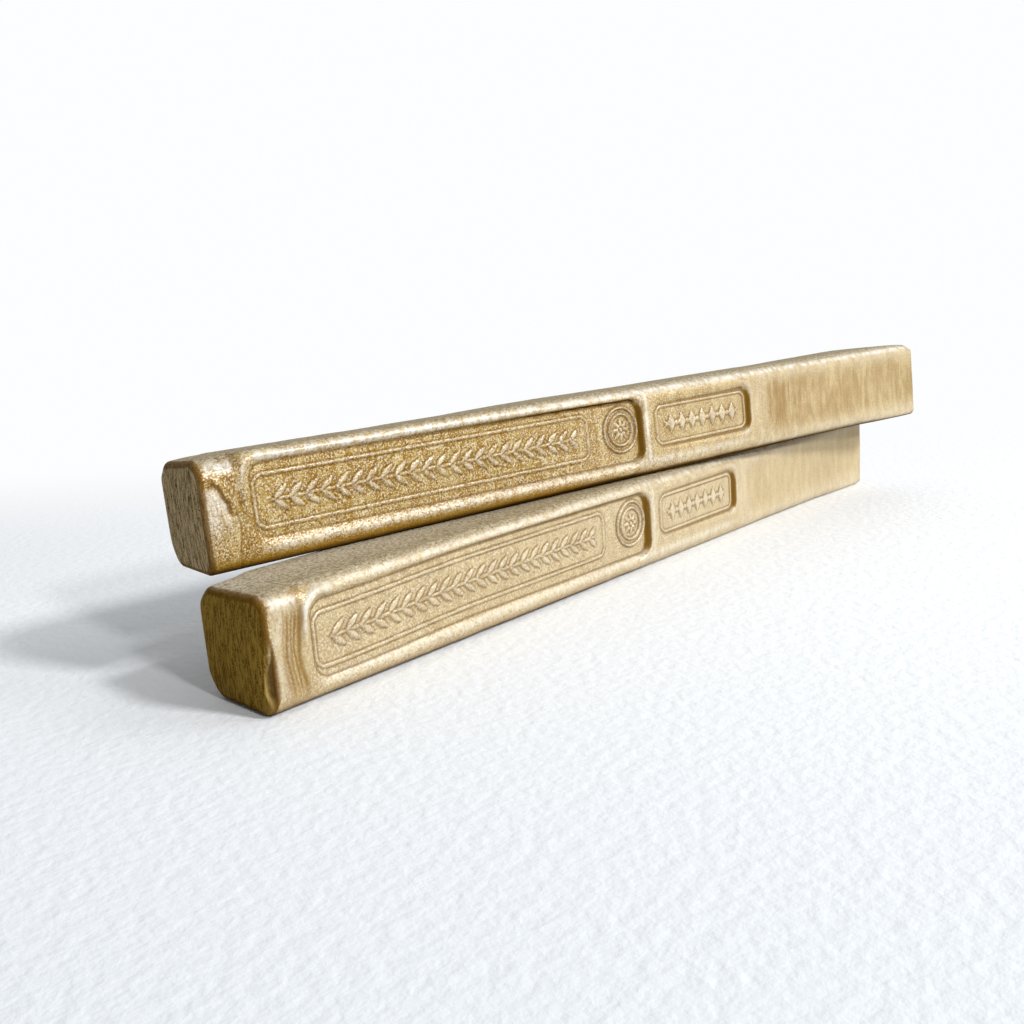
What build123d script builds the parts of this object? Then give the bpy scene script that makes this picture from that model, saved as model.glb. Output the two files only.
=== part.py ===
from build123d import *
import math
import os

os.makedirs("parts", exist_ok=True)

# A pair of cast sealing wax sticks, one lying across the other.
# Millimetres and degrees. X runs along the lower stick, the pressed faces look towards -Y.

# One stick: its pressed face, its thickness and the taper that frees it from the mould
stick_length = 144.0
face_height = 14.0
stick_thickness = 13.8
mould_draft = 1.5

# Rounded edges of one stick
front_edge_radius = 1.7
back_top_radius = 1.9
back_bottom_radius = 3.6
end_edge_radius = 1.2

# Sunk panels of the pressed face, between a top and a bottom rail and either side of a rib.
# The die sat deeper at the far end of each panel.
top_rail = 1.8
bottom_rail = 3.3
panel_wall_slope = 35.0
long_panel_start = 5.4
long_panel_length = 64.9
long_panel_corner = 2.0
long_panel_near_depth = 0.4
long_panel_far_depth = 1.05
rib_width = 2.8
short_panel_length = 22.5
short_panel_inset = 0.55
short_panel_drop = 0.4
short_panel_corner = 1.7
short_panel_near_depth = 0.2
short_panel_far_depth = 0.8

# Raised double ring at the far end of the long panel
ring_diameter = 7.0
ring_spacing = 0.65
ring_gap = 0.65

# Raised frame line on each panel floor, ending short of the ring on the long one
line_width = 0.45
line_height = 0.25
long_frame_margin = 1.3
long_frame_near_gap = 1.1
long_frame_ring_gap = 2.95
long_frame_corner = 1.4
short_frame_margin = 0.55
short_frame_corner = 1.2

# How the upper stick lies on the lower one, measured between their middles
crossing_angle = -9.5
upper_shift_along = 2.7
upper_shift_back = 0.9

# Section of one stick lying on its drafted bottom side, as (depth, height) points
draft = math.radians(mould_draft)
side_width = stick_thickness / math.cos(draft)
front_bottom = Vector(-side_width / 2, 0)
back_bottom = Vector(side_width / 2, 0)
front_top = front_bottom + Vector(math.sin(draft), math.cos(draft)) * face_height
back_top = front_top + Vector(math.cos(2 * draft), -math.sin(2 * draft)) * side_width

# An end edge can be no rounder than the edges that run into it
end_rounding = min(end_edge_radius, 0.8 * min(front_edge_radius, back_top_radius, back_bottom_radius))

# The tool that presses a panel reaches out past the face by this much
press_clearance = 1.0

long_panel_middle = (face_height + bottom_rail - top_rail) / 2
long_panel_height = face_height - top_rail - bottom_rail
long_frame_length = (
    long_panel_length - long_frame_near_gap - long_frame_ring_gap - ring_diameter - ring_gap
)
long_frame_height = long_panel_height - 2 * long_frame_margin
short_panel_start = long_panel_start + long_panel_length + rib_width
short_panel_height = long_panel_height - 2 * short_panel_inset
short_panel_middle = long_panel_middle - short_panel_drop
short_frame_length = short_panel_length - 2 * short_frame_margin
short_frame_height = short_panel_height - 2 * short_frame_margin


def panel_floor(face, start, length, middle_height, near_depth, far_depth):
    """Plane of a panel's floor, centred on it and sloping deeper towards the far end of the stick."""
    slope = math.degrees(math.atan2(far_depth - near_depth, length))
    middle = (start + length / 2, middle_height, -(near_depth + far_depth) / 2)
    return face.moved(Location(middle, (0, slope, 0)))


def frame_line(length, height, corner):
    """Thin closed line with rounded corners, drawn in the sketch that is open."""
    RectangleRounded(length, height, corner)
    RectangleRounded(
        length - 2 * line_width, height - 2 * line_width, corner - line_width, mode=Mode.SUBTRACT
    )


def cast_stick(bed):
    """One casting on the plane bed, whose origin lies under the middle of the stick's bottom side."""
    section_plane = Plane(bed.origin, x_dir=bed.y_dir, z_dir=bed.x_dir)
    face = bed.moved(Location((-stick_length / 2, front_bottom.X, 0), (90 - mould_draft, 0, 0)))
    long_floor = panel_floor(
        face,
        long_panel_start,
        long_panel_length,
        long_panel_middle,
        long_panel_near_depth,
        long_panel_far_depth,
    )
    short_floor = panel_floor(
        face,
        short_panel_start,
        short_panel_length,
        short_panel_middle,
        short_panel_near_depth,
        short_panel_far_depth,
    )

    with BuildPart() as stick:
        # Body: the tapered section, cut off at the same draft at both ends and rounded there
        with BuildSketch(section_plane) as section:
            with BuildLine():
                Polyline(front_bottom, back_bottom, back_top, front_top, close=True)
            make_face()
            front_corners = section.vertices().sort_by(Axis.X)[:2]
            fillet(front_corners, front_edge_radius)
            fillet(section.vertices().sort_by_distance(back_bottom)[0], back_bottom_radius)
            fillet(section.vertices().sort_by_distance(back_top)[0], back_top_radius)
        extrude(amount=stick_length / 2, both=True)
        for end in (-1, 1):
            corner = bed.from_local_coords((end * stick_length / 2, front_bottom.X, 0))
            outward = bed.x_dir * (end * math.cos(draft)) + bed.y_dir * math.sin(draft)
            split(bisect_by=Plane(corner, z_dir=outward), keep=Keep.BOTTOM)
        along = Axis(bed.origin, bed.x_dir)
        for end_face in (stick.faces().sort_by(along)[0], stick.faces().sort_by(along)[-1]):
            fillet(end_face.edges(), end_rounding)

        # Sunk panels, pressed from their floors out through the face
        with BuildSketch(long_floor):
            RectangleRounded(long_panel_length, long_panel_height, long_panel_corner)
        extrude(
            amount=long_panel_far_depth + press_clearance, taper=-panel_wall_slope, mode=Mode.SUBTRACT
        )
        with BuildSketch(short_floor):
            RectangleRounded(short_panel_length, short_panel_height, short_panel_corner)
        extrude(
            amount=short_panel_far_depth + press_clearance, taper=-panel_wall_slope, mode=Mode.SUBTRACT
        )

        # Frame line and double ring on the long floor
        frame_middle = long_frame_near_gap + (long_frame_length - long_panel_length) / 2
        ring_middle = long_panel_length / 2 - ring_gap - ring_diameter / 2
        inner_ring_diameter = ring_diameter - 2 * (line_width + ring_spacing)
        with BuildSketch(long_floor):
            with Locations((frame_middle, 0)):
                frame_line(long_frame_length, long_frame_height, long_frame_corner)
            with Locations((ring_middle, 0)):
                for diameter in (ring_diameter, inner_ring_diameter):
                    Circle(diameter / 2)
                    Circle(diameter / 2 - line_width, mode=Mode.SUBTRACT)
        extrude(amount=line_height)

        # Frame line on the short floor
        with BuildSketch(short_floor):
            frame_line(short_frame_length, short_frame_height, short_frame_corner)
        extrude(amount=line_height)
    return stick


# The lower stick lies on the ground, with the origin under the middle of its bottom side
lower_stick = cast_stick(Plane.XY)
lower_stick.part.label = "lower_stick"
export_step(lower_stick.part, "parts/lower_stick.step")

# The upper stick lies on the sloping top side of the lower one and crosses it
top_middle = (front_top + back_top) / 2
top_side = Plane.XY.moved(Location((0, top_middle.X, top_middle.Y), (-2 * mould_draft, 0, 0)))
upper_place = Location((upper_shift_along, upper_shift_back, 0), (0, 0, crossing_angle))
upper_stick = cast_stick(top_side.moved(upper_place))
upper_stick.part.label = "upper_stick"
export_step(upper_stick.part, "parts/upper_stick.step")
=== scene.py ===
import math

import bpy
import numpy as np
from mathutils import Matrix, Vector

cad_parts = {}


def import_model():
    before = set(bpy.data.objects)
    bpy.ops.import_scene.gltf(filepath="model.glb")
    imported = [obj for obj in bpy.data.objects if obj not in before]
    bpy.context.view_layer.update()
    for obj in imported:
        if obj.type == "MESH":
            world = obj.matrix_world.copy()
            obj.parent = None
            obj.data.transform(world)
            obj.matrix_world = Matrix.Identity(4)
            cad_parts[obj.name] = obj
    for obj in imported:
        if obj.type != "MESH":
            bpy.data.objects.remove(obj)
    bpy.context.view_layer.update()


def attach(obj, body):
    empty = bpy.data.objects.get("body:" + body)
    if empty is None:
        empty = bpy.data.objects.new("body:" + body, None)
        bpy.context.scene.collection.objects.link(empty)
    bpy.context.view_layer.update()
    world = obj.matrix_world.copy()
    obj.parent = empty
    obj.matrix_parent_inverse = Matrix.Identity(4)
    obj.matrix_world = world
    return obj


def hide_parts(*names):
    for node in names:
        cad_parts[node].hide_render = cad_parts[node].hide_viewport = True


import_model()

# Lengths of the sticks are in millimetres here and become metres when a mesh is made
MM = 0.001

# One casting, as in the solids
STICK_LENGTH = 144.0
FACE_HEIGHT = 14.0
STICK_THICKNESS = 13.8
MOULD_DRAFT = math.radians(1.5)
BACK_BOTTOM_RADIUS = 3.6

# Forms of the pressed wax that differ from the plain casting
BACK_TOP_RADIUS, NEAR_BACK_RADIUS = 1.6, 3.2
SHOULDER_RADIUS, FAR_RADIUS = 2.6, 2.2
SHOULDER_RISE, SHOULDER_FALL = (42.0, 78.0), (122.0, 142.0)
FOOT_RADIUS, FAR_FOOT_RADIUS = 2.2, 1.0
FRONT_END_ROUNDING, BACK_END_ROUNDING = 0.65, 1.6
FAR_END_ROUNDING = 0.5
END_ZONE = 1.8
SHRINK = 0.35
FAR_SAG, FAR_SAG_REACH = 0.5, 10.0
NEAR_SAG, NEAR_SAG_REACH = 0.3, 4.5

# How the upper stick lies on the lower one
CROSSING_ANGLE = math.radians(-9.5)
UPPER_SHIFT = (2.7, 0.9)

# The photograph's view: place in metres, heading from +Y towards +X, tilt below the horizon
CAMERA_PLACE = (-0.1340, -0.1010, 0.0459)
CAMERA_HEADING = math.radians(47.15)
CAMERA_TILT = math.radians(12.50)
CAMERA_ROLL = math.radians(-3.33)
CAMERA_LENS, CAMERA_SENSOR = 38.05, 36
CAMERA_CLIP_START = 0.005


# Shape helpers

def smoothstep(low, high, value):
    t = np.clip((value - low) / (high - low), 0, 1)
    return t * t * (3 - 2 * t)


def bump(distance, width):
    """Bell of height 1 where distance is 0, with that width at about a third of its height."""
    return np.exp(-((2 * distance / width) ** 2))


def smooth_max(first, second, blend):
    """The larger of two heights, rounded off where they are less than blend apart."""
    overlap = np.maximum(blend - np.abs(first - second), 0) / np.maximum(blend, 1e-6)
    return np.maximum(first, second) + overlap**2 * blend / 4


def rounded_box(x, z, start, end, bottom, top, corner):
    """Signed distance to a rectangle with rounded corners, negative inside."""
    across = np.abs(x - (start + end) / 2) - (end - start) / 2 + corner
    up = np.abs(z - (bottom + top) / 2) - (top - bottom) / 2 + corner
    outside = np.hypot(np.maximum(across, 0), np.maximum(up, 0))
    return outside + np.minimum(np.maximum(across, up), 0) - corner


def lattice_noise(points, size, seed):
    """Smooth noise from -1 to 1 at points (..., 3), with features about size apart."""
    table = np.random.default_rng(seed).uniform(-1, 1, (32, 32, 32))
    scaled = points / size
    cell = np.floor(scaled).astype(int)
    part = scaled - cell
    part = part * part * (3 - 2 * part)
    total = np.zeros(points.shape[:-1])
    for corner in np.ndindex(2, 2, 2):
        weight = np.prod(np.where(corner, part, 1 - part), axis=-1)
        index = (cell + corner) % 32
        total += weight * table[index[..., 0], index[..., 1], index[..., 2]]
    return total


def graded(first, spans):
    """Stations from first on: each span is (where it ends, about how far apart its stations are)."""
    stations = [first]
    for end, step in spans:
        count = max(1, round((end - stations[-1]) / step))
        stations.extend(np.linspace(stations[-1], end, count + 1)[1:])
    return stations


# The section of a stick: a tapered block lying on its drafted side, as (depth, height) points

SIDE_WIDTH = STICK_THICKNESS / math.cos(MOULD_DRAFT)
FACE_UP = np.array([math.sin(MOULD_DRAFT), math.cos(MOULD_DRAFT)])
FACE_IN = np.array([math.cos(MOULD_DRAFT), -math.sin(MOULD_DRAFT)])
FRONT_BOTTOM = np.array([-SIDE_WIDTH / 2, 0.0])
BACK_BOTTOM = np.array([SIDE_WIDTH / 2, 0.0])
FRONT_TOP = FRONT_BOTTOM + FACE_HEIGHT * FACE_UP
BACK_TOP = FRONT_TOP + SIDE_WIDTH * np.array([math.cos(2 * MOULD_DRAFT), -math.sin(2 * MOULD_DRAFT)])

FRONT, TOP, BACK, BOTTOM = range(4)
SIDE_STEPS = {FRONT: 70, TOP: 10, BACK: 6, BOTTOM: 6}
ARC_STEPS = {FRONT: 22, TOP: 7, BACK: 7, BOTTOM: 9}


def left_normal(direction):
    return np.array([-direction[1], direction[0]])


def section(front_top_radius, foot_radius, back_top_radius=BACK_TOP_RADIUS):
    """Points round the section, from the bottom of the pressed face upwards, and their outward normals."""
    corners = [FRONT_BOTTOM, FRONT_TOP, BACK_TOP, BACK_BOTTOM]
    radii = [foot_radius, front_top_radius, back_top_radius, BACK_BOTTOM_RADIUS]
    sides = [corners[(side + 1) % 4] - corners[side] for side in range(4)]
    lengths = [np.linalg.norm(side) for side in sides]
    along = [side / length for side, length in zip(sides, lengths)]
    angles = [math.acos(along[side - 1] @ along[side]) for side in range(4)]
    reaches = [radius * math.tan(angle / 2) for radius, angle in zip(radii, angles)]
    points, normals = [], []
    for side in (FRONT, TOP, BACK, BOTTOM):
        corner = (side + 1) % 4
        normal = left_normal(along[side])
        for distance in np.linspace(reaches[side], lengths[side] - reaches[corner], SIDE_STEPS[side] + 1):
            points.append(corners[side] + along[side] * distance)
            normals.append(normal)
        centre = points[-1] - normal * radii[corner]
        for bend in np.linspace(0, angles[corner], ARC_STEPS[side] + 1)[1:-1]:
            turned = normal * math.cos(bend) + along[side] * math.sin(bend)
            points.append(centre + turned * radii[corner])
            normals.append(turned)
    return np.array(points), np.array(normals)


# The pressed face: x runs along it from its near end, z up it from its bottom edge

class Panel:
    """A sunk panel. A pair of values holds at its near and far end and changes evenly between them.

    The floor lies between bottoms and tops, and walls are the widths of the rolled edges round it:
    near, far, bottom, top.
    """

    def __init__(self, ends, bottoms, tops, corner, walls, depths):
        self.near, self.far = ends
        self.bottoms, self.tops, self.depths = bottoms, tops, depths
        self.corner = corner
        self.near_wall, self.far_wall, self.bottom_wall, self.top_wall = walls

    def at(self, x, pair):
        """What a pair of values comes to at x."""
        share = np.clip((x - self.near) / (self.far - self.near), 0, 1)
        return pair[0] + (pair[1] - pair[0]) * share

    def middle(self, x):
        return (self.at(x, self.bottoms) + self.at(x, self.tops)) / 2

    def edge(self, x, z):
        """Signed distance to the outline of the floor, negative on it."""
        bottom, top = self.at(x, self.bottoms), self.at(x, self.tops)
        return rounded_box(x, z, self.near, self.far, bottom, top, self.corner)

    def wall(self, x, z):
        """Width of the wall beside each point, wider round the far top corner than on the far side."""
        upper = smoothstep(-3, 3, z - self.middle(x))
        sides = self.bottom_wall + (self.top_wall - self.bottom_wall) * upper
        below_top = smoothstep(0.3, 2.3, self.at(x, self.tops) - z)
        to_far = smoothstep(self.far - 3, self.far - 0.5, x) * below_top
        to_near = smoothstep(self.near + 3, self.near + 0.5, x)
        return sides + (self.far_wall - sides) * to_far + (self.near_wall - sides) * to_near

    def sunk(self, x, z):
        """Depth below the face: the walls roll over from the face and meet the floor in a crease."""
        share = np.clip(1 - self.edge(x, z) / self.wall(x, z), 0, 1)
        return self.at(x, self.depths) * share**2

    def floor(self, x, z):
        """1 on the panel's floor, 0 on its walls and outside."""
        return smoothstep(0, -0.25, self.edge(x, z))

    def lip(self, x, z):
        """Wax that the die pushed up just outside the panel: 1 along its crest."""
        return bump(self.edge(x, z) - self.wall(x, z) - 0.1, 1.1)

    def far_shade(self, x, z):
        """1 on the steep wall at the far end, fading round its corners."""
        edge = self.edge(x, z)
        half = (self.at(x, self.tops) - self.at(x, self.bottoms)) / 2
        across = np.maximum(x - self.far + self.corner, 0)
        up = np.maximum(np.abs(z - self.middle(x)) - half + self.corner, 0)
        towards_far = across / np.maximum(np.hypot(across, up), 1e-6)
        on_wall = smoothstep(-0.5, 0.0, edge) * smoothstep(1.0, 0.6, edge / self.far_wall)
        return on_wall * smoothstep(0.5, 0.9, towards_far)


LONG = Panel(
    ends=(6.3, 70.35),
    bottoms=(3.35, 2.7),
    tops=(12.45, 11.9),
    corner=2.0,
    walls=(1.1, 0.55, 1.6, 0.95),
    depths=(0.45, 0.9),
)


def short_panel(bottom, top):
    """The short panel, which sits at a height of its own on each stick."""
    return Panel(
        ends=(73.2, 95.4),
        bottoms=(bottom, bottom),
        tops=(top, top),
        corner=1.7,
        walls=(1.2, 0.55, 0.9, 1.0),
        depths=(0.12, 0.6),
    )


# Raised lines on the panel floors. The long frame: its start, end, bottom, top and corner radius
LINE_WIDTH = 0.5
LINE_HEIGHT = 0.17
LONG_FRAME = (6.6, 60.0, 4.55, 10.95, 1.4)
SHORT_FRAME_INSET, SHORT_FRAME_CORNER = 0.55, 1.2
RING_X, RING_Z = 66.7, 7.85
RING_RADII = (3.35, 2.35)

# Figures inside them, and how high they and the rings stand next to a line
LEAF_ANGLE, LEAF_LENGTH, LEAF_WIDTH = 0.66, 2.4, 1.15
LEAF_PITCH, LEAF_END_GAP = 2.15, 2.2
LOZENGE_COUNT, LOZENGE_END_GAP = 7, 2.0
ROSETTE_RADIUS, ROSETTE_PETALS = 1.8, 8
RING_RISE, ROSETTE_RISE, LEAF_RISE, LOZENGE_RISE = 2.0, 1.6, 1.1, 1.3


def leaf(x, z, tip_angle, length, width):
    """Pointed leaf from the origin along tip_angle: 1 on its midrib, 0 at its edge and outside."""
    along = x * math.cos(tip_angle) + z * math.sin(tip_angle)
    across = -x * math.sin(tip_angle) + z * math.cos(tip_angle)
    share = np.clip(along / length, 0, 1)
    half = width / 2 * np.sin(np.pi * share) ** 0.8 + 1e-6
    return smoothstep(1.0, 0.1, np.abs(across) / half) * (along > 0) * (along < length)


def leaf_band(x, z, start, end, pitch):
    """A run of leaf pairs on a stem between start and end."""
    place = (x - start) % pitch
    height = 0.7 * smoothstep(0.22, 0, np.abs(z))
    for shift in (0, pitch):
        for angle in (LEAF_ANGLE, -LEAF_ANGLE):
            one_leaf = leaf(place + shift - 0.25, z, angle, LEAF_LENGTH, LEAF_WIDTH)
            height = np.maximum(height, one_leaf)
    return height * ((x > start) & (x < end))


def lozenge_row(x, z, start, end, count):
    """A row of lozenges with a bead between each two."""
    pitch = (end - start) / count
    place = (x - start) % pitch - pitch / 2
    lozenge = smoothstep(1.0, 0.6, np.abs(place) / (0.42 * pitch) + np.abs(z) / 1.8)
    bead = smoothstep(0.5, 0.15, np.hypot(np.abs(place) - pitch / 2, z))
    return np.maximum(lozenge, bead) * ((x > start) & (x < end))


def rosette(x, z, radius, petals):
    """Flower of rounded petals about a centre bead."""
    distance = np.hypot(x, z)
    reach = radius * (0.30 + 0.70 * np.abs(np.cos(petals / 2 * np.arctan2(z, x))) ** 0.7)
    petal = smoothstep(1.0, 0.5, distance / reach) * smoothstep(0.42, 0.7, distance)
    return np.maximum(petal, smoothstep(0.46, 0.15, distance))


def line(distance):
    """1 along the middle of a raised line, 0 beside it."""
    return smoothstep(LINE_WIDTH / 2, 0, np.abs(distance))


def ornament(x, z, short):
    """Raised lines and figures on the panel floors, 1 at the height of a line."""
    figures = line(rounded_box(x, z, *LONG_FRAME))
    ring_distance = np.hypot(x - RING_X, z - RING_Z)
    for radius in RING_RADII:
        figures = np.maximum(figures, RING_RISE * line(ring_distance - radius))
    flower = rosette(x - RING_X, z - RING_Z, ROSETTE_RADIUS, ROSETTE_PETALS)
    figures = np.maximum(figures, ROSETTE_RISE * flower)
    start, end, bottom, top, _ = LONG_FRAME
    leaves = leaf_band(
        x, z - (bottom + top) / 2, start + LEAF_END_GAP, end - LEAF_END_GAP, LEAF_PITCH
    )
    figures = np.maximum(figures, LEAF_RISE * leaves) * LONG.floor(x, z)

    start, end = short.near + SHORT_FRAME_INSET, short.far - SHORT_FRAME_INSET
    bottom, top = short.bottoms[0] + SHORT_FRAME_INSET, short.tops[0] - SHORT_FRAME_INSET
    short_frame = line(rounded_box(x, z, start, end, bottom, top, SHORT_FRAME_CORNER))
    lozenges = lozenge_row(
        x, z - short.middle(x), start + LOZENGE_END_GAP, end - LOZENGE_END_GAP, LOZENGE_COUNT
    )
    return figures + np.maximum(short_frame, LOZENGE_RISE * lozenges) * short.floor(x, z)


# Marks that the two castings don't share: heights in millimetres out of the face, and tints

# The upper stick's cold fold: where its crease starts, its direction down the face and its length
FOLD_X, FOLD_Z = 1.5, 11.2
FOLD_SIDEWAYS, FOLD_DOWN = 0.42, 0.91
FOLD_LENGTH = 5


def fold(x, z):
    """Distance along the crease of the cold fold, and across it with the sunk side negative."""
    along = (x - FOLD_X) * FOLD_SIDEWAYS - (z - FOLD_Z) * FOLD_DOWN
    across = (x - FOLD_X) * FOLD_DOWN + (z - FOLD_Z) * FOLD_SIDEWAYS
    bulge = 0.32 * np.sin(np.clip(along, 0, FOLD_LENGTH) / FOLD_LENGTH * np.pi)
    return along, across - bulge + 0.10 * np.sin(3.1 * along)


def upper_marks(x, z):
    """The cold fold beside the near end: wax sinks towards a slanting crease and ends there in a step."""
    along, across = fold(x, z)
    reach = smoothstep(-0.4, 0.7, along) * smoothstep(5.6, 3.6, along)
    height = -0.26 * reach * smoothstep(-2.2, -0.05, across) * smoothstep(0.22, 0.0, across)
    height += 0.10 * reach * bump(across - 0.5, 0.9)
    height -= 0.07 * bump(x - 4.1 + 0.25 * np.sin(0.9 * z), 0.45) * smoothstep(10.0, 7.0, z)
    height -= 0.09 * bump(x - 5.0 - 0.12 * np.sin(1.2 * z), 0.6) * smoothstep(12.0, 9.5, z)
    return height


def upper_crease(x, z):
    """Painted shade: a dark line in the crease of the cold fold, running on down the face below it."""
    along, across = fold(x, z)
    crack = bump(across - 0.1, 0.3) * smoothstep(-0.4, 0.5, along) * smoothstep(5.2, 4.2, along)
    below = bump(x - 4.15 + 0.25 * np.sin(0.9 * z), 0.3) * smoothstep(9.0, 7.0, z)
    return np.maximum(0.85 * crack, 0.5 * below)


# Flow lines of the lower stick: where each runs, its width, its depth
FLOW_LINES = ((2.35, 0.5, 0.03), (2.9, 0.4, 0.05), (3.4, 0.35, 0.05), (3.9, 0.4, 0.06), (4.5, 0.9, 0.06))


def sway(z):
    """How far, from -1 to 1, the wax beside the near end leans sideways at each height."""
    return np.sin(0.55 * z + 0.6)


def flow_line(x, z, place, width):
    """1 along one curved flow line, fading towards the top and bottom of the face."""
    lean = 0.3 * sway(z) * (1 + 0.3 * np.sin(place * 5 + 0.8 * z))
    return bump(x - place - lean, width) * smoothstep(1.5, 4.0, z) * smoothstep(13.0, 11.0, z)


def lower_marks(x, z):
    """Flow lines beside the near end and the low bead that the die pushed up there."""
    height = 0.06 * bump(x - 1.7, 1.8)
    for place, width, depth in FLOW_LINES:
        height -= depth * flow_line(x, z, place, width)
    height += 0.04 * bump(x - 5.25 - 0.12 * sway(z), 0.8) * smoothstep(1.8, 3.6, z)
    return height


def lower_crease(x, z):
    """Brown tint along the flow lines."""
    lines = [13 * depth * flow_line(x, z, place, 0.9 * width) for place, width, depth in FLOW_LINES]
    return np.maximum.reduce(lines)


def upper_fold_reflection(x, z):
    """Painted reflection: the sunk side of the cold fold painted bright where it catches the light."""
    along, across = fold(x, z)
    return 0.7 * smoothstep(0.2, 1.2, along) * smoothstep(8.5, 2.5, along) * smoothstep(0.1, -0.15, across)


def lower_pale(x, z):
    """Paler beside the near edge."""
    reach = x - 0.35 * sway(z)
    return 0.36 * smoothstep(0.5, 1.0, x) * smoothstep(3.2, 1.6, reach) * smoothstep(1.0, 4.0, z)


# One stick

# Columns along it: where each stretch ends and how far apart its columns are
COLUMN_SPANS = [
    (7.5, 0.16),
    (60.5, 0.2),
    (62.5, 0.17),
    (72.2, 0.13),
    (94.5, 0.2),
    (97.2, 0.13),
    (STICK_LENGTH - FAR_END_ROUNDING, 0.5),
]
END_STEPS = 8
CAP_RINGS = 14

# The chip in the near front edge of the lower stick
CHIP_REACH, CHIP_SLOPE = 0.55, 0.5
CHIP_X, CHIP_HALF_WIDTH = 0.62, 0.4

# The rails and the rib round the panels, and where the bare part begins
TOP_RAIL_Z, BOTTOM_RAIL_Z = 13.1, 2.2
RIB_X = 71.65
BARE_RISE = (97, 102.5)

# Unevenness of the sides: how far it goes and how far apart its features are
BROAD_WOBBLE, BROAD_SPACING = 0.07, 9.0
FINE_WOBBLE, FINE_SPACING = 0.03, 2.6

# The end faces: how far they stand out in the middle, and the depth and spacing of their grain
CAP_BULGE = 0.25
CAP_GRAIN, CAP_GRAIN_SPACING = 0.06, 0.9

# How matte the wax is on the bare part, the back and the far end, and where the haze changes
MATTE = 0.75
HAZE_STOPS = (0, 6.5, 45, 110)

# What is painted on the two ends: the end colours, darkened as painted shade, wholly on the near end and a
# little on the far one
NEAR_CAP = {"end": 1.0}
FAR_CAP = {"end": 0.25, "matte": MATTE, "haze": 0.4, "crisp": 0.4}


def notch_width(z):
    """Width of the chip in the near front edge, widest below and gone at both tips."""
    return smoothstep(0.9, 3.2, z) * smoothstep(10.5, 4.2, z)


def columns(points, normals, notch):
    """Places along the stick at each point of the section, and how far the ends draw in there."""
    scoop = notch * notch_width((points - FRONT_BOTTOM) @ FACE_UP) * (normals[:, 0] < -0.5)
    front = FRONT_END_ROUNDING + CHIP_REACH * scoop
    rounding = front + (BACK_END_ROUNDING - front) * smoothstep(-0.2, 0.9, normals[:, 0])
    bends = np.linspace(0, math.pi / 2, END_STEPS + 1)[:, None]
    near = rounding * ((1 - scoop) * (1 - np.cos(bends)) + scoop * CHIP_SLOPE * np.sin(bends))
    near_inset = rounding * ((1 - scoop) * (1 - np.sin(bends)) + scoop * np.cos(bends))
    reach = rounding + (END_ZONE - rounding) * np.linspace(0, 1, END_STEPS + 1)[1:-1, None]
    middle = np.array(graded(END_ZONE, COLUMN_SPANS))[:-1, None] * np.ones(len(normals))
    far = STICK_LENGTH - FAR_END_ROUNDING * (1 - np.cos(bends[::-1])) * np.ones(len(normals))
    far_inset = FAR_END_ROUNDING * (1 - np.sin(bends[::-1])) * np.ones(len(normals))
    flat = np.zeros((len(reach) + len(middle), len(normals)))
    return np.vstack([near, reach, middle, far]), np.vstack([near_inset, flat, far_inset])


def end_sag(x):
    """How far the top side sags towards the two ends."""
    far = np.clip((x - STICK_LENGTH + FAR_SAG_REACH) / FAR_SAG_REACH, 0, 1)
    near = np.clip((NEAR_SAG_REACH - x) / NEAR_SAG_REACH, 0, 1)
    return FAR_SAG * far**2 + NEAR_SAG * near**2


def edge_notch(x, z):
    """Painted shade in the chip in the near front edge: strongest along its middle, 0 at its rims."""
    from_middle = np.abs(x - CHIP_X - 0.05 * np.sin(1.7 * z))
    half_width = CHIP_HALF_WIDTH * notch_width(z) + 1e-6
    return 0.85 * smoothstep(1.0, 0.45, from_middle / half_width)


def mixed(first, second, share):
    """Blend of two sections (points and normals) that changes along the stick."""
    return tuple(one + share[..., None] * (other - one) for one, other in zip(first, second))


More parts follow.
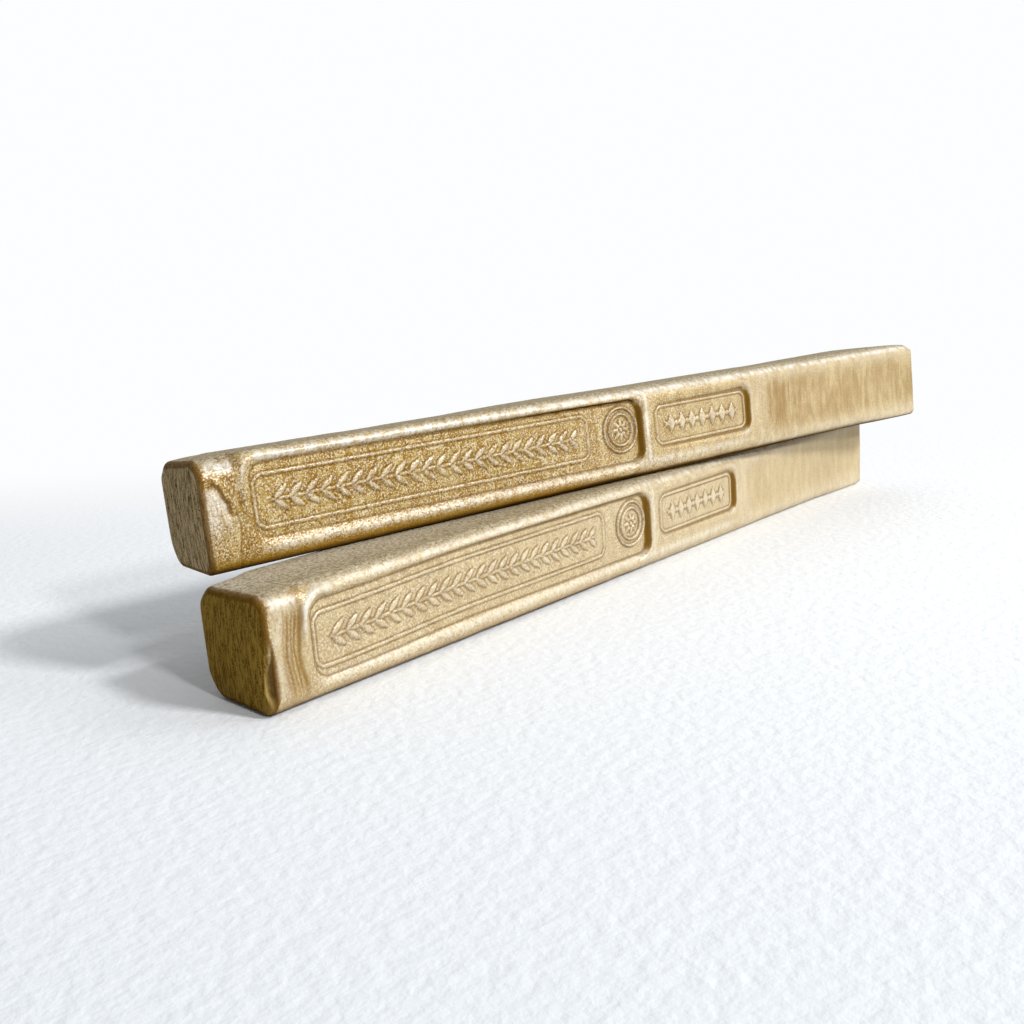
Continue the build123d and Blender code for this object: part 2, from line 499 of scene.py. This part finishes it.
def stick_sides(look):
    """Points (rows, columns, 3) of the long sides, and the layers that are painted on them."""
    rail, shoulder = section(look["rail_radius"], FOOT_RADIUS), section(SHOULDER_RADIUS, FOOT_RADIUS)
    slumped = section(look["near_radius"], FOOT_RADIUS, NEAR_BACK_RADIUS)
    far = section(FAR_RADIUS, FAR_FOOT_RADIUS)
    x, inset = columns(*rail, look["notch"])
    body = mixed(rail, shoulder, smoothstep(*SHOULDER_RISE, x))
    body = mixed(body, far, smoothstep(*SHOULDER_FALL, x))
    slump_start, slump_end = look["slump"]
    points, normals = mixed(body, slumped, smoothstep(slump_end, slump_start, x))
    normals = normals / np.linalg.norm(normals, axis=2, keepdims=True)
    points = points - inset[..., None] * normals
    top = smoothstep(0.3, 0.9, normals[..., 1])
    behind_edge = smoothstep(-6.5, 3.0, points[..., 0])
    points[..., 1] -= (end_sag(x) + np.interp(x, *zip(*look["top_line"])) * behind_edge) * top

    height = (points - FRONT_BOTTOM) @ FACE_UP
    z = height + look["droop"] * smoothstep(34, 8, x)
    behind = (points - FRONT_BOTTOM) @ FACE_IN
    facing = smoothstep(0.05, 0.4, -(normals @ FACE_IN))

    # The die sinks the face, the wax it moves stands up round it, and the bare part shrinks hollow
    short = look["short_panel"]
    sunk = np.maximum(LONG.sunk(x, z), short.sunk(x, z))
    blend = 0.2 * smoothstep(0.0, 0.15, sunk)
    inward = (smooth_max(behind, sunk, blend) - behind) * (facing > 0)
    figures = ornament(x, z, short)
    inward = inward - LINE_HEIGHT * figures * facing
    inward = inward - look["marks"](x, z) * facing * smoothstep(0.3, 1.2, x)
    shrunk = smoothstep(0.8, 4.5, z) * smoothstep(13.2, 9.5, z) * smoothstep(*BARE_RISE, x)
    inward = inward + SHRINK * shrunk * smoothstep(STICK_LENGTH, STICK_LENGTH - 6, x)
    bead = look["corner_bead"] * smoothstep(11, 7, x) * smoothstep(7.5, 11.5, z)
    long_lip = (bead + 0.13 * smoothstep(64, 70, x)) * LONG.lip(x, z)
    short_lip = 0.12 * short.lip(x, z) * smoothstep(91, 95, x)
    lips = long_lip + short_lip

    # Painted highlights: pale paint where the rails, the rib, the pad's edge and the figures catch the light
    top_rail = bump(height - TOP_RAIL_Z, 1.1) * smoothstep(5.5, 8, x)
    bottom_rail = bump(height - BOTTOM_RAIL_Z, 1.3) * smoothstep(5.5, 9, x) * smoothstep(100, 90, x)
    rib = bump(x - RIB_X, 1.0) * smoothstep(1, 3, z)
    crest_highlights = np.maximum(look["crest"][0] * np.maximum(top_rail, rib), look["crest"][1] * bottom_rail)
    pad_edge_highlight = bump(height - 12.7, 1.6) * smoothstep(0.8, 1.4, x) * smoothstep(4.9, 4.2, x)
    crest_highlights = np.maximum.reduce([crest_highlights, pad_edge_highlight, 0.42 * np.clip(figures, 0, 1)])
    edge_bands = 0.4 * smoothstep(94, 101, x) * (1 - shrunk)

    # Hand-made unevenness, which never lifts the top or the bottom side
    place = np.dstack([x, points])
    broad = BROAD_WOBBLE * lattice_noise(place, BROAD_SPACING, look["seed"])
    fine = FINE_WOBBLE * lattice_noise(place, FINE_SPACING, look["seed"] + 1)
    wobble = broad + fine
    wobble = np.where(np.abs(normals[..., 1]) > 0.5, np.minimum(wobble, 0), wobble)
    outward = lips * facing + wobble

    points = points + inward[..., None] * FACE_IN + outward[..., None] * normals
    # Painted shade on the steep far walls of the panels and in the valley beside the near end
    shade = 0.92 * np.maximum(LONG.far_shade(x, z), short.far_shade(x, z))
    valley_shade = 0.3 * bump(x - 4.5 - 0.12 * sway(z), 1.1) * smoothstep(2, 11, z)
    calm = look["calm_pad"] * smoothstep(6.0, 4.5, x) * smoothstep(0.5, 1.2, x) * facing
    layers = {
        # The end colours, darkened as painted shade, on the near end
        "end": smoothstep(1.0, 0.2, x / FRONT_END_ROUNDING),
        "pad": smoothstep(6.0, 4.8, x) * facing * (1 + 0.6 * smoothstep(2.0, 3.2, x)),
        "crisp": (1 - 0.6 * smoothstep(55, 115, x)) * (1 - 0.4 * top) * (1 - calm),
        # Painted shade in the chip
        "chip_shade": edge_notch(x, z) * facing * look["notch"],
        # Painted highlights on the rails, rib, lips, pad edge and figures, painted reflection in the cold
        # fold, and a paler tint beside the lower stick's near edge and round the bare part
        "pale_and_highlight": np.maximum.reduce([look["pale_and_highlight"](x, z), 3.0 * lips, crest_highlights, edge_bands]) * facing,
        "matte": MATTE * np.maximum(smoothstep(84, 108, x), smoothstep(0.5, 0.9, normals[..., 0])),
        # Painted light on the back of the lower stick's top, where the upper stick shades it
        "painted_fill_on_top": look["painted_fill_on_top"] * top * smoothstep(-5.5, 3.0, points[..., 0]) * smoothstep(70, 25, x),
        # Painted shade on the downward-facing part of the face
        "under": look["under"] * smoothstep(0.05, 0.6, -normals[..., 1]) * smoothstep(76, 52, x) * facing,
        # Painted shade on the far walls, in the valley and in the cold fold's crease, and a brown tint along
        # the flow lines
        "stain_and_shade": np.maximum.reduce([shade, valley_shade, look["crease"](x, z)]) * facing,
        "bare": look["bare"] * shrunk * facing * (0.8 + 0.45 * bump(x - 103, 14)),
        # Painted shade and sheen: the top side greyer and darker than the face
        "top": look["top"] * smoothstep(0.7, 0.95, normals[..., 1]),
        "haze": (1 - 0.8 * top) * np.interp(x, HAZE_STOPS, look["haze"]),
        # Painted highlight on the lit rim of the chip
        "chip_rim_highlight": look["notch"] * bump(x - 0.15, 0.35) * bump(z - 3.6, 3.6) * facing,
    }
    return np.dstack([x, points]), layers


def end_cap(vertices, loop, order, seed):
    """Rings of points closing the loop towards its middle, and their faces."""
    count = len(loop)
    rim = vertices[loop]
    middle = rim.mean(axis=0)
    faces = []
    for ring in range(1, CAP_RINGS + 1):
        share = 1 - ring / (CAP_RINGS + 0.4)
        points = middle + share * (rim - middle)
        grain = np.column_stack([points[:, 1], 0.12 * points[:, 2], np.full(count, 3.0)])
        away = CAP_GRAIN * lattice_noise(grain, CAP_GRAIN_SPACING, seed) * smoothstep(1.0, 0.85, share)
        points[:, 0] += away + order * CAP_BULGE * (1 - share**2)
        fresh = np.arange(len(vertices), len(vertices) + count)
        vertices = np.vstack([vertices, points])
        quads = np.column_stack([loop, fresh, np.roll(fresh, -1), np.roll(loop, -1)])
        faces.extend(quads[:, ::order].tolist())
        loop = fresh
    faces.append(loop[::-order].tolist())
    return vertices, faces


def bending(grid, normals, reach):
    """Curvature of a grid of points over reach steps each way, in 1/mm, positive in hollows."""
    total = np.zeros(grid.shape[:2])
    before, after = np.roll(grid, reach, axis=1), np.roll(grid, -reach, axis=1)
    ahead = np.vstack([grid[reach:], np.repeat(grid[-1:], reach, axis=0)])
    behind = np.vstack([np.repeat(grid[:1], reach, axis=0), grid[:-reach]])
    for first, second in ((before, after), (behind, ahead)):
        left, right = first - grid, second - grid
        left_length = np.maximum(np.linalg.norm(left, axis=2, keepdims=True), 0.05)
        right_length = np.maximum(np.linalg.norm(right, axis=2, keepdims=True), 0.05)
        change = 2 * (left / left_length + right / right_length) / (left_length + right_length)
        total += (change * normals).sum(axis=2)
    return total


def paint(mesh, name, values):
    """Keep one value per point on the mesh, under a name that the material reads."""
    layer = mesh.attributes.new(name, "FLOAT", "POINT")
    layer.data.foreach_set("value", values.astype(np.float32))


def stick_mesh(name, look):
    """The mesh of one casting, with its middle at the origin and its layers painted on."""
    grid, layers = stick_sides(look)
    rows, count = grid.shape[:2]
    vertices = grid.reshape(-1, 3)
    index = np.arange(rows * count).reshape(rows, count)
    beside = np.roll(index, -1, axis=1)
    quads = np.stack([index[:-1], index[1:], beside[1:], beside[:-1]], axis=-1).reshape(-1, 4)
    faces = quads.tolist()
    for row, order in ((0, -1), (rows - 1, 1)):
        vertices, cap = end_cap(vertices, index[row], order, look["seed"] + 5)
        faces.extend(cap)

    # The ends carry the mould's draft too, so the back is a little shorter than the face
    shorter = 1 - (vertices[:, 1] - FRONT_BOTTOM[0]) * math.tan(MOULD_DRAFT) / (STICK_LENGTH / 2)
    vertices[:, 0] = (vertices[:, 0] - STICK_LENGTH / 2) * shorter

    mesh = bpy.data.meshes.new(name)
    mesh.from_pydata((vertices * MM).tolist(), [], faces)
    mesh.polygons.foreach_set("use_smooth", [True] * len(mesh.polygons))
    mesh.update()

    normals = np.zeros(len(vertices) * 3)
    mesh.vertices.foreach_get("normal", normals)
    sides = rows * count
    side_normals = normals.reshape(-1, 3)[:sides].reshape(rows, count, 3)
    side_points = vertices[:sides].reshape(rows, count, 3)
    curve = bending(side_points, side_normals, 2)
    # Painted shade: darker brown in creases and hollows
    layers["crease_shade"] = smoothstep(0.12, 1.45, curve)
    from_middle = side_points[..., 0]
    from_end = STICK_LENGTH / 2 - np.abs(from_middle)
    layers["worn"] = smoothstep(0.5, 1.3, -curve) * smoothstep(2.2, 0.9, from_end)
    layers["worn"][from_middle > 0] *= 0.25

    # Painted shade: the dark contact line under a stick is sharper along its middle stretch, and fades out on
    # a pale foot
    along = from_middle + STICK_LENGTH / 2
    shut = look["under"] * smoothstep(20, 60, along) * smoothstep(125, 95, along)
    layers["contact_shade"] = smoothstep(-0.5 - 0.05 * shut, -0.95 + 0.25 * shut, side_normals[..., 2])
    layers["contact_shade"] *= 1 - look["pale_foot"] * smoothstep(45, 90, along)
    for layer, values in layers.items():
        on_caps = [np.full(CAP_RINGS * count, cap.get(layer, 0.0)) for cap in (NEAR_CAP, FAR_CAP)]
        paint(mesh, layer, np.concatenate([values.ravel(), *on_caps]))
    return mesh


def stick(name, node, place, look, material):
    """One dressed stick in the place of a node of the frame."""
    piece = bpy.data.objects.new(name, stick_mesh(name, look))
    bpy.context.scene.collection.objects.link(piece)
    piece.matrix_world = place
    piece.data.materials.append(material)
    bpy.context.view_layer.update()
    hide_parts(node)
    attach(piece, node)


# Materials

def feed(tree, socket, value):
    """Link a socket to another node's output, or set it to a plain value."""
    if isinstance(value, bpy.types.NodeSocket):
        tree.links.new(value, socket)
    else:
        socket.default_value = value


def add(tree, kind, **sockets):
    """A node of that kind with its input sockets fed by name."""
    node = tree.nodes.new(kind)
    for name, value in sockets.items():
        feed(tree, node.inputs[name.replace("_", " ")], value)
    return node


def new_material(name):
    material = bpy.data.materials.new(name)
    material.use_nodes = True
    tree = material.node_tree
    tree.nodes.clear()
    output = tree.nodes.new("ShaderNodeOutputMaterial")
    return material, tree, output


def blend_colour(tree, factor, first, second):
    node = tree.nodes.new("ShaderNodeMix")
    node.data_type = "RGBA"
    factor_input, first_input, second_input = node.inputs[0], node.inputs[6], node.inputs[7]
    feed(tree, factor_input, factor)
    feed(tree, first_input, first)
    feed(tree, second_input, second)
    return node.outputs[2]


def blend_shaders(tree, factor, first, second):
    node = add(tree, "ShaderNodeMixShader", Fac=factor)
    feed(tree, node.inputs[1], first.outputs[0])
    feed(tree, node.inputs[2], second.outputs[0])
    return node.outputs[0]


def ramp(tree, value, low, high, start=0.0, end=1.0):
    """Goes smoothly from start to end while value goes from low to high."""
    node = add(tree, "ShaderNodeMapRange", Value=value, From_Min=low, From_Max=high, To_Min=start, To_Max=end)
    node.interpolation_type = "SMOOTHSTEP"
    return node.outputs[0]


def combined(tree, operation, first, second):
    node = tree.nodes.new("ShaderNodeMath")
    node.operation = operation
    feed(tree, node.inputs[0], first)
    feed(tree, node.inputs[1], second)
    return node.outputs[0]


def times(tree, first, second):
    return combined(tree, "MULTIPLY", first, second)


def larger(tree, first, second):
    return combined(tree, "MAXIMUM", first, second)


def noise(tree, place, scale, detail):
    return add(tree, "ShaderNodeTexNoise", Vector=place, Scale=scale, Detail=detail).outputs[0]


def stretched_noise(tree, place, scales, detail):
    """Noise with a scale of its own along each axis."""
    scaled = add(tree, "ShaderNodeMapping", Vector=place, Scale=scales).outputs[0]
    return noise(tree, scaled, 1.0, detail)


def reach_along(tree, place, direction):
    """How far a place lies in a direction."""
    node = add(tree, "ShaderNodeVectorMath", Vector=place)
    node.operation = "DOT_PRODUCT"
    node.inputs[1].default_value = direction
    return node.outputs["Value"]


def seen_rays(tree):
    """1 for what the eye sees directly, as a reflection or through glass, 0 for the light on the sticks."""
    rays = tree.nodes.new("ShaderNodeLightPath").outputs
    seen = larger(tree, rays["Is Camera Ray"], rays["Is Glossy Ray"])
    return larger(tree, seen, rays["Is Transmission Ray"])


def painted(tree, name):
    """One of the layers painted on the sticks."""
    node = tree.nodes.new("ShaderNodeAttribute")
    node.attribute_name = name
    return node.outputs["Fac"]


# Colours of the wax
GOLD = (0.305, 0.170, 0.017, 1)
# Pale tone of the wax, also the painted highlight on the chip's rim
PALE_TONE_AND_RIM_HIGHLIGHT = (0.45, 0.320, 0.110, 1)
# Pale pigment flakes, painted brighter as glints
FLAKE_AND_GLINT = (0.76, 0.68, 0.51, 1)
# Painted highlight on the rails, the rib, the lips and the figures
PEARL_HIGHLIGHT = (0.76, 0.735, 0.67, 1)
HAZE = (0.66, 0.575, 0.41, 1)
# Painted light on the sheltered back of the lower stick's top
TOP_FILL_PAINT = (0.62, 0.58, 0.48, 1)
BARE = (0.29, 0.182, 0.072, 1)
# Brown of streaks and worn edges, also painted shade in creases and in the chip
STREAK_AND_SHADE_BROWN = (0.13, 0.058, 0.006, 1)
GRAIN = (0.17, 0.078, 0.004, 1)
# Painted shade on far walls and in creases, also the brown of the flow lines
SHADE_AND_FLOW_BROWN = (0.20, 0.098, 0.004, 1)
# Painted shade on the underside of the face
UNDERSIDE_SHADE_GOLD = (0.34, 0.180, 0.003, 1)
# The top side, painted greyer and darker as shade and sheen
TOP_SIDE_SHADE = (0.20, 0.155, 0.085, 1)
TOP_SIDE_SHEEN = (0.47, 0.42, 0.31, 1)
# Dark of the cracks in the end faces, also painted shade along the contact line under a stick
CRACK_AND_SHADE = (0.070, 0.030, 0.002, 1)
# Colours of the end faces, darkened as painted shade
LOWER_SHADED_END_GOLD, LOWER_SHADED_END_BROWN = (0.285, 0.175, 0.032, 1), (0.10, 0.050, 0.004, 1)
UPPER_SHADED_END_GOLD, UPPER_SHADED_END_BROWN = (0.46, 0.345, 0.185, 1), (0.092, 0.058, 0.019, 1)

# Colours of the paper, greyer nearer the eye as painted shade, of the white ground behind it and of the light
# from all round
PAPER, SHADED_NEAR_PAPER = (0.90, 0.92, 0.94, 1), (0.78, 0.81, 0.84, 1)
WHITE_GROUND = (0.98, 0.985, 1.0, 1)
FILL_LIGHT = (0.94, 0.97, 1.0, 1)


def wax_material(name, shift, end_gold, end_brown):
    """Pearl gold wax: streaks and flakes of pale pigment in brown gold, brown on worn edges, with painted
    shade in creases and painted highlights, glints and sheen.
    """
    material, tree, output = new_material(name)
    local = tree.nodes.new("ShaderNodeTexCoord").outputs["Object"]
    place = add(tree, "ShaderNodeMapping", Vector=local, Location=shift).outputs[0]
    flake = noise(tree, place, 4400.0, 1.5)
    grain = noise(tree, place, 2900.0, 2.5)
    mottle = stretched_noise(tree, place, (700.0, 700.0, 190.0), 4.0)
    streak = stretched_noise(tree, place, (2000.0, 2000.0, 160.0), 4.0)
    brushed = stretched_noise(tree, place, (2200.0, 2500.0, 2200.0), 4.0)
    cloud = stretched_noise(tree, place, (300.0, 300.0, 130.0), 3.0)
    smear = stretched_noise(tree, place, (1200.0, 1200.0, 420.0), 4.0)
    fibre = stretched_noise(tree, place, (3300.0, 3300.0, 600.0), 3.0)
    crisp, pale_and_highlight = painted(tree, "crisp"), painted(tree, "pale_and_highlight")

    # Colours and shares that take more than one step
    # The top side's colour: painted shade and sheen
    top = blend_colour(tree, ramp(tree, brushed, 0.34, 0.66), TOP_SIDE_SHADE, TOP_SIDE_SHEEN)
    specks = times(tree, ramp(tree, grain, 0.53, 0.36, 0.0, 0.8), crisp)
    specks = times(tree, specks, ramp(tree, pale_and_highlight, 0.0, 1.0, 1.0, 0.4))
    blotch = combined(tree, "ADD", times(tree, cloud, 0.35), times(tree, smear, 0.35))
    blotch = combined(tree, "ADD", blotch, times(tree, streak, 0.3))
    # The end faces: fibres and cracks in colours darkened as painted shade
    end = blend_colour(tree, ramp(tree, fibre, 0.36, 0.64), end_gold, end_brown)
    end = blend_colour(tree, ramp(tree, flake, 0.46, 0.64, 0.0, 0.8), end, end_gold)
    end = blend_colour(tree, ramp(tree, streak, 0.40, 0.31, 0.0, 0.5), end, CRACK_AND_SHADE)

    # What covers the mottled gold, from the first to the last: its share and its colour
    covers = (
        (times(tree, ramp(tree, smear, 0.38, 0.60, 0.40, 0.95), pale_and_highlight), PEARL_HIGHLIGHT),
        (painted(tree, "top"), top),
        (times(tree, ramp(tree, brushed, 0.36, 0.62, 0.35, 1.35), painted(tree, "painted_fill_on_top")), TOP_FILL_PAINT),
        (specks, GRAIN),
        (times(tree, ramp(tree, streak, 0.46, 0.64, 0.0, 0.3), painted(tree, "pad")), STREAK_AND_SHADE_BROWN),
        (times(tree, ramp(tree, flake, 0.50, 0.64, 0.0, 0.62), crisp), FLAKE_AND_GLINT),
        (painted(tree, "haze"), HAZE),
        (painted(tree, "under"), UNDERSIDE_SHADE_GOLD),
        (times(tree, ramp(tree, blotch, 0.40, 0.58, 0.1, 1.0), painted(tree, "bare")), BARE),
        (times(tree, painted(tree, "crease_shade"), 0.62), STREAK_AND_SHADE_BROWN),
        (painted(tree, "end"), end),
        (times(tree, painted(tree, "worn"), 0.75), STREAK_AND_SHADE_BROWN),
        (painted(tree, "stain_and_shade"), SHADE_AND_FLOW_BROWN),
        (painted(tree, "contact_shade"), CRACK_AND_SHADE),
        (painted(tree, "chip_shade"), STREAK_AND_SHADE_BROWN),
        (painted(tree, "chip_rim_highlight"), PALE_TONE_AND_RIM_HIGHLIGHT),
    )
    colour = blend_colour(tree, ramp(tree, mottle, 0.34, 0.68), GOLD, PALE_TONE_AND_RIM_HIGHLIGHT)
    for share, cover in covers:
        colour = blend_colour(tree, share, colour, cover)

    # The dull layers lose the shine of the coat
    dull = painted(tree, "top")
    for layer in ("end", "stain_and_shade", "chip_shade", "worn", "crease_shade", "under", "matte", "contact_shade", "chip_rim_highlight"):
        dull = larger(tree, dull, painted(tree, layer))
    shine = times(tree, ramp(tree, flake, 0.40, 0.60, 0.25, 1.0), ramp(tree, dull, 0.0, 1.0, 0.9, 0.0))
    fine = add(tree, "ShaderNodeBump", Height=flake, Strength=times(tree, crisp, 0.6), Distance=0.00010)
    coarse = add(
        tree, "ShaderNodeBump", Height=grain, Strength=0.35, Distance=0.00016, Normal=fine.outputs[0]
    )
    shader = add(
        tree,
        "ShaderNodeBsdfPrincipled",
        Base_Color=colour,
        Metallic=ramp(tree, dull, 0.0, 1.0, 0.12, 0.04),
        Roughness=ramp(tree, mottle, 0.3, 0.7, 0.34, 0.44),
        Specular_IOR_Level=0.0,
        Coat_Weight=shine,
        Coat_Roughness=0.22,
        Coat_Normal=coarse.outputs[0],
        Normal=coarse.outputs[0],
    )
    tree.links.new(shader.outputs[0], output.inputs[0])
    return material


def paper_material():
    """White paper, a little greyer towards the eye as painted shade, that fades to a plain white ground
    behind the sticks.
    """
    material, tree, output = new_material("white_paper")
    place = tree.nodes.new("ShaderNodeTexCoord").outputs["Object"]
    grain = noise(tree, place, 650.0, 3.0)
    texture = add(tree, "ShaderNodeBump", Height=grain, Strength=0.7, Distance=0.0003)
    nearer = reach_along(tree, place, (-0.68, -0.73, 0.0))
    colour = blend_colour(tree, ramp(tree, nearer, 0.02, 0.12), PAPER, SHADED_NEAR_PAPER)
    paper = add(tree, "ShaderNodeBsdfPrincipled", Base_Color=colour, Roughness=0.9, Normal=texture.outputs[0])
    white = add(tree, "ShaderNodeEmission", Color=WHITE_GROUND, Strength=1.0)
    distance = add(tree, "ShaderNodeVectorMath", Vector=place)
    distance.operation = "LENGTH"
    behind = ramp(tree, nearer, -0.015, -0.14)
    far = larger(tree, behind, ramp(tree, distance.outputs["Value"], 0.18, 0.75))
    shown = blend_shaders(tree, times(tree, far, seen_rays(tree)), paper, white)
    tree.links.new(shown, output.inputs[0])
    return material


# The two sticks

MIDDLE_OF_TOP = (FRONT_TOP + BACK_TOP) / 2 * MM
TOP_SIDE = Matrix.Translation((0, *MIDDLE_OF_TOP)) @ Matrix.Rotation(-2 * MOULD_DRAFT, 4, "X")
UPPER_PLACE = (
    TOP_SIDE
    @ Matrix.Translation((UPPER_SHIFT[0] * MM, UPPER_SHIFT[1] * MM, 0))
    @ Matrix.Rotation(CROSSING_ANGLE, 4, "Z")
)

# What differs between the two castings: forms in millimetres, and shares of each painted layer
LOWER_LOOK = {
    "seed": 11,
    "marks": lower_marks,
    "crease": lower_crease,
    "pale_and_highlight": lower_pale,
    "near_radius": 2.2,
    "slump": (3.5, 7.0),
    "corner_bead": 0.45,
    "rail_radius": 1.8,
    "calm_pad": 0.45,
    "bare": 0.15,
    "crest": (0.8, 0.8),
    "droop": 0.75,
    "top_line": ((0, 0.0), (144, 0.0)),
    "under": 0.2,
    "pale_foot": 0.9,
    "top": 0.85,
    "painted_fill_on_top": 0.55,
    "haze": (0.2, 0.38, 0.38, 0.52),
    "notch": 1.0,
    "short_panel": short_panel(bottom=4.4, top=11.2),
}
UPPER_LOOK = {
    "seed": 47,
    "marks": upper_marks,
    "crease": upper_crease,
    "pale_and_highlight": upper_fold_reflection,
    "near_radius": 2.8,
    "slump": (4.3, 5.9),
    "corner_bead": 0.17,
    "rail_radius": 1.15,
    "calm_pad": 0.0,
    "bare": 0.68,
    "crest": (1.0, 0.6),
    "droop": 0.0,
    "top_line": (
        (0, 0.13), (40, 0.2), (52, 0.03), (60, 0.0), (72, 0.12), (112, 0.17), (130, 0.0), (144, -0.1)
    ),
    "under": 0.78,
    "pale_foot": 0.0,
    "top": 0.9,
    "painted_fill_on_top": 0.0,
    "haze": (0.0, 0.0, 0.0, 0.35),
    "notch": 0.0,
    "short_panel": short_panel(bottom=4.0, top=10.9),
}
lower_wax = wax_material("gold_wax_lower", (0, 0, 0), LOWER_SHADED_END_GOLD, LOWER_SHADED_END_BROWN)
upper_wax = wax_material("gold_wax_upper", (0.3, 0.1, 0.2), UPPER_SHADED_END_GOLD, UPPER_SHADED_END_BROWN)
stick("lower_wax_stick", "lower_stick", Matrix.Identity(4), LOWER_LOOK, lower_wax)
stick("upper_wax_stick", "upper_stick", UPPER_PLACE, UPPER_LOOK, upper_wax)


# Floor, light and camera

# Half the side of the floor, and how far it lies below the sticks, in metres
FLOOR_HALF, FLOOR_DROP = 3.0, 0.00005

# Each lamp: its place, what it points at, its size and its power
LAMPS = {
    "right_window": ((0.22, -0.84, 0.65), (-0.07, 0, 0), 0.15, 8.0),
    "side_window": ((0.58, -0.56, 0.60), (0, 0, 0), 0.4, 1.8),
    "front_window": ((-0.164, -0.97, 0.51), (-0.07, 0, 0), 0.10, 4.2),
}


def floor():
    half = FLOOR_HALF
    mesh = bpy.data.meshes.new("floor")
    corners = [(-half, -half, 0), (half, -half, 0), (half, half, 0), (-half, half, 0)]
    mesh.from_pydata(corners, [], [(0, 1, 2, 3)])
    piece = bpy.data.objects.new("floor", mesh)
    piece.location.z = -FLOOR_DROP
    mesh.materials.append(paper_material())
    bpy.context.scene.collection.objects.link(piece)


def area_light(name, place, target, size, power):
    lamp = bpy.data.lights.new(name, "AREA")
    lamp.size = size
    lamp.energy = power
    light = bpy.data.objects.new(name, lamp)
    light.location = place
    light.rotation_euler = (Vector(target) - Vector(place)).to_track_quat("-Z", "Y").to_euler()
    bpy.context.scene.collection.objects.link(light)


def world():
    """White to the eye and in reflections. Its light is bright from behind the sticks and dim in front."""
    backdrop = bpy.data.worlds.new("studio")
    backdrop.use_nodes = True
    tree = backdrop.node_tree
    tree.nodes.clear()
    direction = tree.nodes.new("ShaderNodeTexCoord").outputs["Generated"]
    level = ramp(tree, reach_along(tree, direction, (0.65, 0.65, 0.40)), -0.2, 0.8, 0.07, 0.68)
    fill = add(tree, "ShaderNodeBackground", Color=FILL_LIGHT, Strength=level)
    white = add(tree, "ShaderNodeBackground", Color=WHITE_GROUND, Strength=1.0)
    shown = blend_shaders(tree, seen_rays(tree), fill, white)
    output = tree.nodes.new("ShaderNodeOutputWorld")
    tree.links.new(shown, output.inputs[0])
    bpy.context.scene.world = backdrop


def camera():
    forward = Vector((
        math.sin(CAMERA_HEADING) * math.cos(CAMERA_TILT),
        math.cos(CAMERA_HEADING) * math.cos(CAMERA_TILT),
        -math.sin(CAMERA_TILT),
    ))
    level = Vector((math.cos(CAMERA_HEADING), -math.sin(CAMERA_HEADING), 0))
    above = level.cross(forward)
    right = level * math.cos(CAMERA_ROLL) + above * math.sin(CAMERA_ROLL)
    up = right.cross(forward)
    eye = bpy.data.objects.new("camera", bpy.data.cameras.new("camera"))
    eye.data.lens = CAMERA_LENS
    eye.data.sensor_width = CAMERA_SENSOR
    eye.data.clip_start = CAMERA_CLIP_START
    axes = Matrix((right, up, -forward)).transposed().to_4x4()
    eye.matrix_world = Matrix.Translation(CAMERA_PLACE) @ axes
    bpy.context.scene.collection.objects.link(eye)
    bpy.context.scene.camera = eye


floor()
for lamp_name, settings in LAMPS.items():
    area_light(lamp_name, *settings)
world()
camera()
bpy.context.scene.view_settings.view_transform = "Standard"
